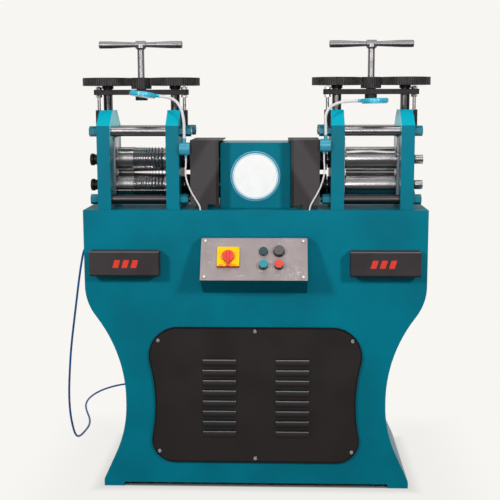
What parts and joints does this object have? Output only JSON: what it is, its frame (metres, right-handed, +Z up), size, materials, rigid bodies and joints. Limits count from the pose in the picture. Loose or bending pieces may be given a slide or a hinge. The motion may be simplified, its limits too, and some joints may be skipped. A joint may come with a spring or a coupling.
{
  "type": "double-headed jewellers rolling mill",
  "caption": "Floor-standing motor-driven rolling mill: grooved wire rolls and flat sheet rolls on a waisted cabinet, T handles setting the roll gap, work lamps and stop bars.",
  "frame": {"origin": "on the floor, in the middle of the width and depth", "axes": "+X to the right seen from the operator, +Y from the operator towards the back, +Z up"},
  "size_m": [1.0964, 1.1284, 1.219],
  "materials": {
    "cabinet_front_panel": "semi-gloss paint",
    "cabinet_side_panels": "semi-gloss paint",
    "cabinet_rear_panel": "semi-gloss paint",
    "cabinet_top_plate": "semi-gloss paint",
    "cabinet_base": "semi-gloss paint",
    "vent_cover": "satin black",
    "vent_cover_edging": "matt",
    "panel_screws": "zinc plated",
    "control_box": "semi-gloss paint",
    "control_faceplate": "brushed, light scratches",
    "isolator_plate": "moulded",
    "isolator_knob": "moulded",
    "button_collars": "moulded",
    "pilot_lens": "clear moulding",
    "black_button": "moulded",
    "green_button": "moulded",
    "red_button": "moulded",
    "left_stop_bar": "textured",
    "right_stop_bar": "textured",
    "stop_bar_bases": "matt",
    "left_mill_frames": "semi-gloss paint",
    "right_mill_frames": "semi-gloss paint",
    "tie_rods_and_studs": "turned",
    "frame_nuts": "painted, stud nuts bare",
    "bridges": "satin black",
    "stud_brackets": "satin black",
    "left_upper_chocks": "machined",
    "right_upper_chocks": "machined",
    "lower_chocks": "machined",
    "left_upper_roll": "ground and grooved",
    "left_lower_roll": "ground and grooved",
    "right_upper_roll": "ground and polished",
    "right_lower_roll": "ground and polished",
    "left_outer_screw": "blackened gear, turned screw",
    "left_inner_screw": "blackened gear, turned screw",
    "right_inner_screw": "blackened gear, turned screw",
    "right_outer_screw": "blackened gear, turned screw",
    "left_pinion": "blackened",
    "right_pinion": "blackened",
    "left_handle": "polished",
    "right_handle": "polished",
    "wire_guide": "bright",
    "drive_housing": "semi-gloss paint",
    "blank_badge": "gloss white",
    "left_coupling_guard": "satin dark grey",
    "right_coupling_guard": "satin dark grey",
    "lower_drive_shaft": "turned",
    "upper_drive_shaft": "turned",
    "motor": "cast",
    "motor_worm": "hardened",
    "lamp_bases": "gloss",
    "left_lamp_neck": "sleeved",
    "right_lamp_neck": "sleeved",
    "left_lamp_head": "moulded",
    "right_lamp_head": "moulded",
    "lamp_leads": "smooth",
    "cord_gland": "moulded",
    "mains_cord": "smooth",
    "cord_coil": "smooth",
    "mains_plug": "moulded"
  },
  "bodies": {
    "machine_frame": {"cabinet_front_panel": "cabinet_front_panel", "cabinet_side_panels": "cabinet_side_panels", "cabinet_rear_panel": "cabinet_rear_panel", "cabinet_top_plate": "cabinet_top_plate", "cabinet_base": "cabinet_base", "vent_cover": "vent_cover", "vent_cover_edging": "vent_cover_edging", "panel_screws": "panel_screws", "control_box": "control_box", "control_faceplate": "control_faceplate", "isolator_plate": "isolator_plate", "button_collars": "button_collars", "pilot_lens": "pilot_lens", "stop_bar_bases": "stop_bar_bases", "left_mill_frames": "left_mill_frames", "right_mill_frames": "right_mill_frames", "tie_rods_and_studs": "tie_rods_and_studs", "frame_nuts": "frame_nuts", "bridges": "bridges", "stud_brackets": "stud_brackets", "lower_chocks": "lower_chocks", "wire_guide": "wire_guide", "drive_housing": "drive_housing", "blank_badge": "blank_badge", "left_coupling_guard": "left_coupling_guard", "right_coupling_guard": "right_coupling_guard", "motor": "motor", "lamp_bases": "lamp_bases", "lamp_leads": "lamp_leads", "cord_gland": "cord_gland", "mains_cord": "mains_cord", "cord_coil": "cord_coil", "mains_plug": "mains_plug"},
    "lower_drive": {"lower_drive_shaft": "lower_drive_shaft", "left_lower_roll": "left_lower_roll", "right_lower_roll": "right_lower_roll"},
    "upper_drive": {"upper_drive_shaft": "upper_drive_shaft"},
    "motor_rotor": {"motor_worm": "motor_worm"},
    "left_chock_set": {"left_upper_chocks": "left_upper_chocks"},
    "right_chock_set": {"right_upper_chocks": "right_upper_chocks"},
    "left_top_roll": {"left_upper_roll": "left_upper_roll"},
    "right_top_roll": {"right_upper_roll": "right_upper_roll"},
    "left_outer_screw_set": {"left_outer_screw": "left_outer_screw"},
    "left_inner_screw_set": {"left_inner_screw": "left_inner_screw"},
    "right_inner_screw_set": {"right_inner_screw": "right_inner_screw"},
    "right_outer_screw_set": {"right_outer_screw": "right_outer_screw"},
    "left_t_handle": {"left_handle": "left_handle", "left_pinion": "left_pinion"},
    "right_t_handle": {"right_handle": "right_handle", "right_pinion": "right_pinion"},
    "isolator": {"isolator_knob": "isolator_knob"},
    "black_push": {"black_button": "black_button"},
    "green_push": {"green_button": "green_button"},
    "red_push": {"red_button": "red_button"},
    "left_stop": {"left_stop_bar": "left_stop_bar"},
    "right_stop": {"right_stop_bar": "right_stop_bar"},
    "left_neck": {"left_lamp_neck": "left_lamp_neck"},
    "right_neck": {"right_lamp_neck": "right_lamp_neck"},
    "left_lamp": {"left_lamp_head": "left_lamp_head"},
    "right_lamp": {"right_lamp_head": "right_lamp_head"}
  },
  "joints": [
    {"name": "lower_drive_spin", "type": "hinge", "parent": "machine_frame", "child": "lower_drive", "pos_m": [0, -0.038, 0.8295], "axis": [1, 0, 0], "continuous": true},
    {"name": "upper_drive_spin", "type": "hinge", "parent": "machine_frame", "child": "upper_drive", "pos_m": [0, -0.038, 0.899], "axis": [1, 0, 0], "continuous": true},
    {"name": "motor_spin", "type": "hinge", "parent": "machine_frame", "child": "motor_rotor", "pos_m": [-0.045, 0.0105, 0.8295], "axis": [0, 0, 1], "continuous": true},
    {"name": "left_handle_turn", "type": "hinge", "parent": "machine_frame", "child": "left_t_handle", "pos_m": [-0.3115, -0.038, 1.105], "axis": [0, 0, 1], "range_deg": [-2012, 184]},
    {"name": "left_chock_slide", "type": "slide", "parent": "machine_frame", "child": "left_chock_set", "axis": [0, 0, 1], "range_m": [-0.0008, 0.0088]},
    {"name": "left_top_roll_spin", "type": "hinge", "parent": "left_chock_set", "child": "left_top_roll", "pos_m": [-0.3115, -0.038, 0.899], "axis": [1, 0, 0], "continuous": true},
    {"name": "left_outer_screw_turn", "type": "hinge", "parent": "left_chock_set", "child": "left_outer_screw_set", "pos_m": [-0.4035, -0.038, 1.112], "axis": [0, 0, 1], "range_deg": [-76, 796]},
    {"name": "left_inner_screw_turn", "type": "hinge", "parent": "left_chock_set", "child": "left_inner_screw_set", "pos_m": [-0.2195, -0.038, 1.112], "axis": [0, 0, 1], "range_deg": [-76, 796]},
    {"name": "right_handle_turn", "type": "hinge", "parent": "machine_frame", "child": "right_t_handle", "pos_m": [0.3115, -0.038, 1.105], "axis": [0, 0, 1], "range_deg": [-2012, 184]},
    {"name": "right_chock_slide", "type": "slide", "parent": "machine_frame", "child": "right_chock_set", "axis": [0, 0, 1], "range_m": [-0.0008, 0.0088]},
    {"name": "right_top_roll_spin", "type": "hinge", "parent": "right_chock_set", "child": "right_top_roll", "pos_m": [0.3115, -0.038, 0.899], "axis": [1, 0, 0], "continuous": true},
    {"name": "right_outer_screw_turn", "type": "hinge", "parent": "right_chock_set", "child": "right_outer_screw_set", "pos_m": [0.4035, -0.038, 1.112], "axis": [0, 0, 1], "range_deg": [-76, 796]},
    {"name": "right_inner_screw_turn", "type": "hinge", "parent": "right_chock_set", "child": "right_inner_screw_set", "pos_m": [0.2195, -0.038, 1.112], "axis": [0, 0, 1], "range_deg": [-76, 796]},
    {"name": "isolator_turn", "type": "hinge", "parent": "machine_frame", "child": "isolator", "pos_m": [-0.067, -0.21923, 0.65429], "axis": [0, -0.8231, 0.5679], "range_deg": [-90, 0]},
    {"name": "black_button_push", "type": "slide", "parent": "machine_frame", "child": "black_push", "axis": [0, 0.8231, -0.5679], "range_m": [0, 0.004], "stiffness_N_per_m": 600, "springref_m": -0.003},
    {"name": "green_button_push", "type": "slide", "parent": "machine_frame", "child": "green_push", "axis": [0, 0.8231, -0.5679], "range_m": [0, 0.004], "stiffness_N_per_m": 600, "springref_m": -0.003},
    {"name": "red_button_push", "type": "slide", "parent": "machine_frame", "child": "red_push", "axis": [0, 0.8231, -0.5679], "range_m": [0, 0.004], "stiffness_N_per_m": 600, "springref_m": -0.003},
    {"name": "left_stop_push", "type": "slide", "parent": "machine_frame", "child": "left_stop", "axis": [0, 1, 0], "range_m": [0, 0.005], "stiffness_N_per_m": 1500, "springref_m": -0.005},
    {"name": "right_stop_push", "type": "slide", "parent": "machine_frame", "child": "right_stop", "axis": [0, 1, 0], "range_m": [0, 0.005], "stiffness_N_per_m": 1500, "springref_m": -0.005},
    {"name": "left_neck_swing", "type": "hinge", "parent": "machine_frame", "child": "left_neck", "pos_m": [-0.187, -0.13, 0.96], "axis": [0, 0, 1], "range_deg": [-5, 100]},
    {"name": "left_lamp_twist", "type": "hinge", "parent": "left_neck", "child": "left_lamp", "pos_m": [-0.251, -0.13, 1.071], "axis": [-0.9923, 0, 0.124], "range_deg": [-60, 60]},
    {"name": "right_neck_swing", "type": "hinge", "parent": "machine_frame", "child": "right_neck", "pos_m": [0.187, -0.13, 0.969], "axis": [0, 0, 1], "range_deg": [-100, 5]},
    {"name": "right_lamp_twist", "type": "hinge", "parent": "right_neck", "child": "right_lamp", "pos_m": [0.27, -0.13, 1.057], "axis": [0.9997, 0, 0.0227], "range_deg": [-60, 60]}
  ],
  "couplings": [
    {"joint": "upper_drive_spin", "follows": "lower_drive_spin", "ratio": -1},
    {"joint": "motor_spin", "follows": "lower_drive_spin", "ratio": 20},
    {"joint": "left_handle_turn", "follows": "left_chock_slide", "rad_per_m": -3987.4},
    {"joint": "left_top_roll_spin", "follows": "lower_drive_spin", "ratio": -1},
    {"joint": "left_outer_screw_turn", "follows": "left_chock_slide", "rad_per_m": 1570.8},
    {"joint": "left_inner_screw_turn", "follows": "left_chock_slide", "rad_per_m": 1570.8},
    {"joint": "right_handle_turn", "follows": "right_chock_slide", "rad_per_m": -3987.4},
    {"joint": "right_top_roll_spin", "follows": "lower_drive_spin", "ratio": -1},
    {"joint": "right_outer_screw_turn", "follows": "right_chock_slide", "rad_per_m": 1570.8},
    {"joint": "right_inner_screw_turn", "follows": "right_chock_slide", "rad_per_m": 1570.8}
  ]
}
